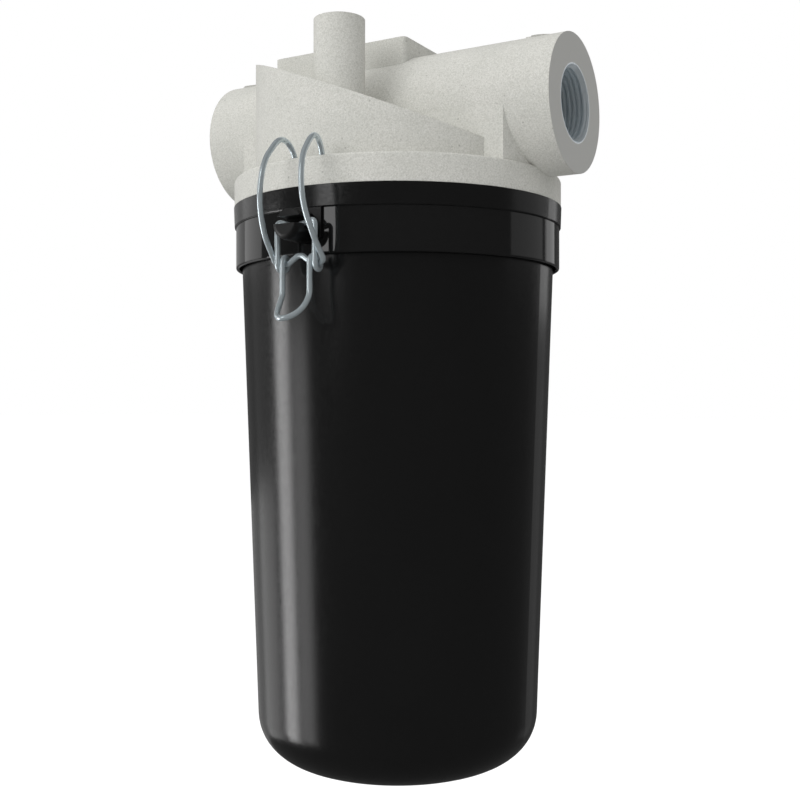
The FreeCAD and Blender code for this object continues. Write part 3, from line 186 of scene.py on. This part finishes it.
def cast_aluminium():
    """Sand-cast aluminium with fine grains and pits. The ports and their faces are machined; the threads'
    bright blue-grey is partly painted light and reflection, and the end faces' darker grey is partly painted
    shade.
    """
    thread_radius = 13.6 * MM
    thread_depth = 19 * MM
    skin_dark, skin_light = (0.6, 0.6, 0.56), (0.65, 0.645, 0.605)
    grain_dark = (0.4, 0.4, 0.36)
    speck_light = (0.9, 0.9, 0.87)
    pit_dark = (0.2, 0.2, 0.18)
    # Partly painted shade: the machined end faces get a darker grey for the shade on the faces turned from
    # the lights.
    face_grey_painted_shade = (0.46, 0.46, 0.44)
    # Partly painted light: the threads' bright blue-grey stands in for the light and reflections inside the
    # bores.
    thread_blue_with_painted_light = (0.74, 0.81, 0.85)

    recipe = Recipe("cast_aluminium")
    thread, along, reach = port_share(recipe, thread_radius, thread_depth)
    face = recipe.remap(along, reach - 0.03 * MM, reach - 0.01 * MM)
    machined = recipe.calculate("MAXIMUM", thread, face)
    rough = recipe.calculate("SUBTRACT", 1.0, machined)

    tone = recipe.noise(14 * MM, 3)
    grain = recipe.noise(0.6 * MM, 2, 0.7)
    sand = recipe.noise(0.35 * MM, 1, 0.6)
    pits = recipe.remap(recipe.cells(2.6 * MM), 0.05, 0.16, 1, 0)
    pit_patches = recipe.remap(recipe.noise(5 * MM), 0.45, 0.6)
    pits = recipe.calculate("MULTIPLY", recipe.calculate("MULTIPLY", pits, pit_patches), rough)
    specks = recipe.calculate("MULTIPLY", recipe.remap(sand, 0.54, 0.66), rough)

    colour = recipe.blend(recipe.remap(tone, 0.3, 0.7), skin_dark, skin_light)
    colour = recipe.blend(recipe.remap(grain, 0.42, 0.62, 0, 0.45), colour, grain_dark)
    colour = recipe.blend(recipe.calculate("MULTIPLY", specks, 0.3), colour, speck_light)
    colour = recipe.blend(recipe.calculate("MULTIPLY", pits, 0.55), colour, pit_dark)
    # The end faces take a darker grey, partly painted shade.
    colour = recipe.blend(face, colour, face_grey_painted_shade)
    # The threads take a bright blue-grey, partly painted light and reflection.
    colour = recipe.blend(thread, colour, thread_blue_with_painted_light)

    height = recipe.calculate("ADD", grain, recipe.calculate("MULTIPLY", sand, 0.5))
    height = recipe.calculate("SUBTRACT", height, pits)
    normal = recipe.bump(
        height, 0.12 * MM, recipe.soft_edges(0.35 * MM), recipe.shade(machined, 0.75, 0.03)
    )
    recipe.set(
        Base_Color=colour,
        Metallic=recipe.shade(thread, 0.12, 0.65),
        Roughness=recipe.shade(thread, recipe.shade(face, 0.78, 0.6), 0.22),
        Normal=normal,
    )
    return recipe


def satin_black():
    """The bowl's satin black, with a very fine grain that only shows in its highlights."""
    recipe = Recipe("bowl_black")
    grain = recipe.noise(0.4 * MM, 2, 0.6)
    tone = recipe.noise(25 * MM, 2)
    recipe.set(
        Base_Color=recipe.blend(tone, (0.0045, 0.0045, 0.0045), (0.0058, 0.0058, 0.0058)),
        Roughness=recipe.remap(recipe.noise(1.2 * MM, 2), 0.3, 0.7, 0.16, 0.24),
        Specular_IOR_Level=0.5,
        Normal=recipe.bump(grain, 0.03 * MM, recipe.soft_edges(0.3 * MM), 0.35),
    )
    return recipe


def gloss_black():
    """Black enamel on sheet steel, with a faint orange peel."""
    recipe = Recipe("band_black")
    peel = recipe.noise(3 * MM, 1)
    recipe.set(
        Base_Color=recipe.blend(peel, (0.006, 0.006, 0.006), (0.0072, 0.0072, 0.0072)),
        Roughness=recipe.remap(recipe.noise(9 * MM, 2), 0.3, 0.7, 0.05, 0.09),
        Normal=recipe.bump(peel, 0.01 * MM, recipe.soft_edges(0.3 * MM), 0.2),
    )
    return recipe


def plated_wire():
    """Drawn spring wire with a blue-white zinc plating."""
    recipe = Recipe("plated_wire")
    mottle = recipe.noise(1.2 * MM, 2)
    recipe.set(
        Base_Color=recipe.blend(mottle, (0.56, 0.63, 0.66), (0.62, 0.69, 0.72)),
        Metallic=0.68,
        Roughness=recipe.remap(mottle, 0.3, 0.7, 0.17, 0.22),
    )
    return recipe


def plated_steel():
    """Zinc-plated sheet and bar with turned or rolled lines round the bowl's axis."""
    recipe = Recipe("plated_steel")
    lines = recipe.noise(0.5 * MM, 2, 0.6, recipe.stretched((0.15, 0.15, 1)))
    recipe.set(
        Base_Color=recipe.blend(lines, (0.5, 0.52, 0.53), (0.68, 0.69, 0.68)),
        Metallic=0.75,
        Roughness=recipe.remap(lines, 0.3, 0.7, 0.28, 0.42),
        Normal=recipe.bump(lines, 0.02 * MM, recipe.soft_edges(0.2 * MM), 0.3),
    )
    return recipe


def turned_brass():
    recipe = Recipe("drain_brass")
    lines = recipe.noise(0.3 * MM, 2, 0.6, recipe.stretched((0.1, 0.1, 1)))
    recipe.set(
        Base_Color=recipe.blend(lines, (0.5, 0.36, 0.14), (0.66, 0.5, 0.22)),
        Metallic=0.85,
        Roughness=recipe.remap(lines, 0.3, 0.7, 0.25, 0.4),
        Normal=recipe.bump(lines, 0.02 * MM, recipe.soft_edges(0.15 * MM), 0.3),
    )
    return recipe


def seal_rubber():
    recipe = Recipe("seal_rubber")
    bloom = recipe.noise(2 * MM, 3)
    recipe.set(
        Base_Color=recipe.blend(bloom, (0.012, 0.012, 0.012), (0.03, 0.03, 0.028)),
        Roughness=recipe.remap(bloom, 0.3, 0.7, 0.5, 0.7),
        Normal=recipe.bump(recipe.noise(0.2 * MM), 0.02 * MM, strength=0.3),
    )
    return recipe


def moulded_plastic(name, dark, light, grain_size):
    """Moulded plastic with soft edges and a fine grain."""
    recipe = Recipe(name)
    grain = recipe.noise(grain_size, 2, 0.6)
    recipe.set(
        Base_Color=recipe.blend(recipe.noise(8 * MM), dark, light),
        Roughness=recipe.remap(grain, 0.3, 0.7, 0.38, 0.5),
        Normal=recipe.bump(grain, 0.03 * MM, recipe.soft_edges(0.25 * MM), 0.35),
    )
    return recipe


def filter_paper():
    """Creased paper with long fibres."""
    recipe = Recipe("filter_paper")
    fibres = recipe.noise(0.6 * MM, 4, 0.7, recipe.stretched((1, 1, 0.25)))
    recipe.set(
        Base_Color=recipe.blend(fibres, (0.62, 0.58, 0.48), (0.84, 0.81, 0.73)),
        Roughness=0.9,
        Normal=recipe.bump(fibres, 0.08 * MM, strength=0.5),
    )
    return recipe


def drainage_felt():
    """Needled felt: a matted fuzz with small punched dimples."""
    recipe = Recipe("drainage_felt")
    fuzz = recipe.noise(0.7 * MM, 5, 0.75)
    dimples = recipe.remap(recipe.cells(2.2 * MM), 0.1, 0.4)
    recipe.set(
        Base_Color=recipe.blend(fuzz, (0.6, 0.6, 0.57), (0.82, 0.82, 0.8)),
        Roughness=0.95,
        Sheen_Weight=0.3,
        Normal=recipe.bump(recipe.calculate("ADD", fuzz, dimples), 0.25 * MM, strength=0.6),
    )
    return recipe


def finish_frame():
    """Give every CAD node the finish of its material."""
    finish_nodes(["head"], cast_aluminium())
    finish_nodes(["bowl"], satin_black())
    finish_nodes(["latch_band"], gloss_black())
    finish_nodes(
        ["latch_lug_front", "latch_lug_rear"],
        moulded_plastic("lug_black", (0.002, 0.002, 0.002), (0.004, 0.004, 0.004), 0.5 * MM),
    )
    finish_nodes(
        [name for name in nodes if name.startswith(("latch_lever", "latch_bail"))],
        plated_wire(),
    )
    finish_nodes(
        ["bowl_seal", "element_top_gasket", "element_seal", "drain_gasket", "drain_stem_seal"],
        seal_rubber(),
    )
    finish_nodes(
        ["deflector", "quiet_zone_baffle"],
        moulded_plastic("pale_plastic", (0.62, 0.62, 0.58), (0.7, 0.7, 0.66), 0.8 * MM),
    )
    finish_nodes(
        [
            "element_top_cap",
            "element_bottom_cap",
            "element_core",
            "element_washer",
            "element_nut",
            "tie_rod",
            "tie_rod_locknut",
        ],
        plated_steel(),
    )
    finish_nodes(["element_media"], filter_paper())
    finish_nodes(["element_sleeve"], drainage_felt())
    finish_nodes(["drain_body", "drain_nut", "drain_stem"], turned_brass())
    finish_nodes(
        ["drain_knob"],
        moulded_plastic("knob_black", (0.006, 0.006, 0.006), (0.011, 0.011, 0.011), 0.5 * MM),
    )


# ---------------------------------------------------------------- stage, light and camera

CAMERA_PLACE = Vector((209.9 * MM, -361.9 * MM, -131.05 * MM))
CAMERA_TURN = math.radians(30)


def make_camera():
    """A level camera that looks past the front latch, with the outlet port to the right."""
    data = bpy.data.cameras.new("camera")
    data.lens = 50
    data.sensor_width = 36
    data.clip_start = 0.01
    data.clip_end = 50
    camera = bpy.data.objects.new("camera", data)
    camera.location = CAMERA_PLACE
    camera.rotation_euler = (math.radians(90), 0, CAMERA_TURN)
    bpy.context.scene.collection.objects.link(camera)
    bpy.context.scene.camera = camera


def make_floor():
    """A wide pale floor, low enough for the bowl to come off. It glows to the camera, to stay near white."""
    half = 20
    gap = 5 * MM
    glow = 0.5
    mesh = bpy.data.meshes.new("floor")
    removal = next(j for j in frame["record"]["behaviour"]["joints"] if j["name"] == "bowl_removal")
    level = cad_box[0][2] - removal["range_m"][1] - gap
    corners = [(x, y, level) for x, y in ((-half, -half), (half, -half), (half, half), (-half, half))]
    mesh.from_pydata(corners, [], [(0, 1, 2, 3)])
    floor = bpy.data.objects.new("floor", mesh)
    bpy.context.scene.collection.objects.link(floor)
    recipe = Recipe("pale_floor")
    seen = recipe.add("ShaderNodeLightPath").outputs["Is Camera Ray"]
    mottle = recipe.noise(40 * MM, 2)
    recipe.set(
        Base_Color=recipe.blend(mottle, (0.68, 0.68, 0.68), (0.7, 0.7, 0.7)),
        Roughness=0.9,
        Specular_IOR_Level=0.0,
        Emission_Color=(1, 1, 1, 1),
        Emission_Strength=recipe.calculate("MULTIPLY", seen, glow),
    )
    mesh.materials.append(recipe.material)
    floor.visible_glossy = False
    floor.visible_shadow = False


def make_world():
    """White behind the object, a soft even light on it, and a dark room in its reflections."""
    world = bpy.data.worlds.new("studio")
    bpy.context.scene.world = world
    world.use_nodes = True
    tree = world.node_tree
    background = tree.nodes["Background"]
    path = tree.nodes.new("ShaderNodeLightPath")
    white = 1.0
    room = 0.08
    ambient = 0.74

    def strength(ray, special, otherwise):
        """One strength for a kind of ray, and another for all the rest."""
        node = tree.nodes.new("ShaderNodeMix")
        tree.links.new(path.outputs[ray], node.inputs["Factor"])
        node.inputs["B"].default_value = special
        if isinstance(otherwise, bpy.types.NodeSocket):
            tree.links.new(otherwise, node.inputs["A"])
        else:
            node.inputs["A"].default_value = otherwise
        return node.outputs["Result"]

    lit = strength("Is Glossy Ray", room, ambient)
    tree.links.new(strength("Is Camera Ray", white, lit), background.inputs["Strength"])
    background.inputs["Color"].default_value = (1, 1, 1, 1)


def softbox(name, turn, angle, brightness, low=-0.7, high=0.7, distance=1.2):
    """A panel that faces the filter. Its turn is measured to the right of the camera's side."""
    data = bpy.data.lights.new(name, "AREA")
    data.shape = "RECTANGLE"
    data.size = 2 * distance * math.tan(math.radians(angle) / 2)
    data.size_y = high - low
    data.energy = brightness * math.pi * data.size * data.size_y
    towards = CAMERA_TURN - math.pi / 2 + math.radians(turn)
    out = Vector((math.cos(towards), math.sin(towards), 0))
    panel = bpy.data.objects.new(name, data)
    middle = (cad_box[0][2] + cad_box[1][2]) / 2
    panel.location = out * distance + Vector((0, 0, middle + (low + high) / 2))
    panel.rotation_euler = out.to_track_quat("Z", "Y").to_euler()
    bpy.context.scene.collection.objects.link(panel)
    return panel


# Each panel's name, turn and width in degrees, brightness, and its bottom and top in metres from the
# filter's middle height.
MIRRORED_PANELS = (
    ("strip", -92, 14, 5.0, -0.7, 0.16),
    ("soft_strip", -74, 13, 1.8, -0.7, 0.06),
    ("left_window", -47, 13, 2.8, 0.16, 0.9),
    ("left_wall_high", -119, 26, 0.9, 0.18, 0.7),
    ("left_wall", -119, 26, 0.16, -0.15, 0.18),
    ("left_wall_low", -119, 26, 1.0, -0.7, -0.15),
    ("back_wall_high", -151, 38, 0.3, 0.18, 0.7),
    ("back_wall", -151, 38, 0.04, -0.15, 0.18),
    ("back_wall_low", -151, 38, 0.25, -0.7, -0.15),
    ("right_wall_high", 100, 36, 0.28, 0.18, 0.7),
    ("right_window", 131, 20, 0.7, 0.1, 0.7),
    ("right_window_low", 131, 20, 0.12, -0.7, 0.1),
)


def make_lights():
    """Panels that glossy parts mirror, and two more that only light matt ones."""
    for name, turn, angle, brightness, low, high in MIRRORED_PANELS:
        panel = softbox(name, turn, angle, brightness, low, high)
        panel.visible_diffuse = False
    key = softbox("key", -40, 30, 3.9, low=0.1, high=0.9)
    overhead = softbox("overhead", -60, 60, 1.0)
    overhead.location = Vector((-0.35, -0.35, 1.3))
    overhead.rotation_euler = overhead.location.to_track_quat("Z", "Y").to_euler()
    for panel in (key, overhead):
        panel.visible_glossy = False


finish_frame()
make_floor()
make_world()
make_lights()
make_camera()
bpy.context.scene.view_settings.view_transform = "Standard"
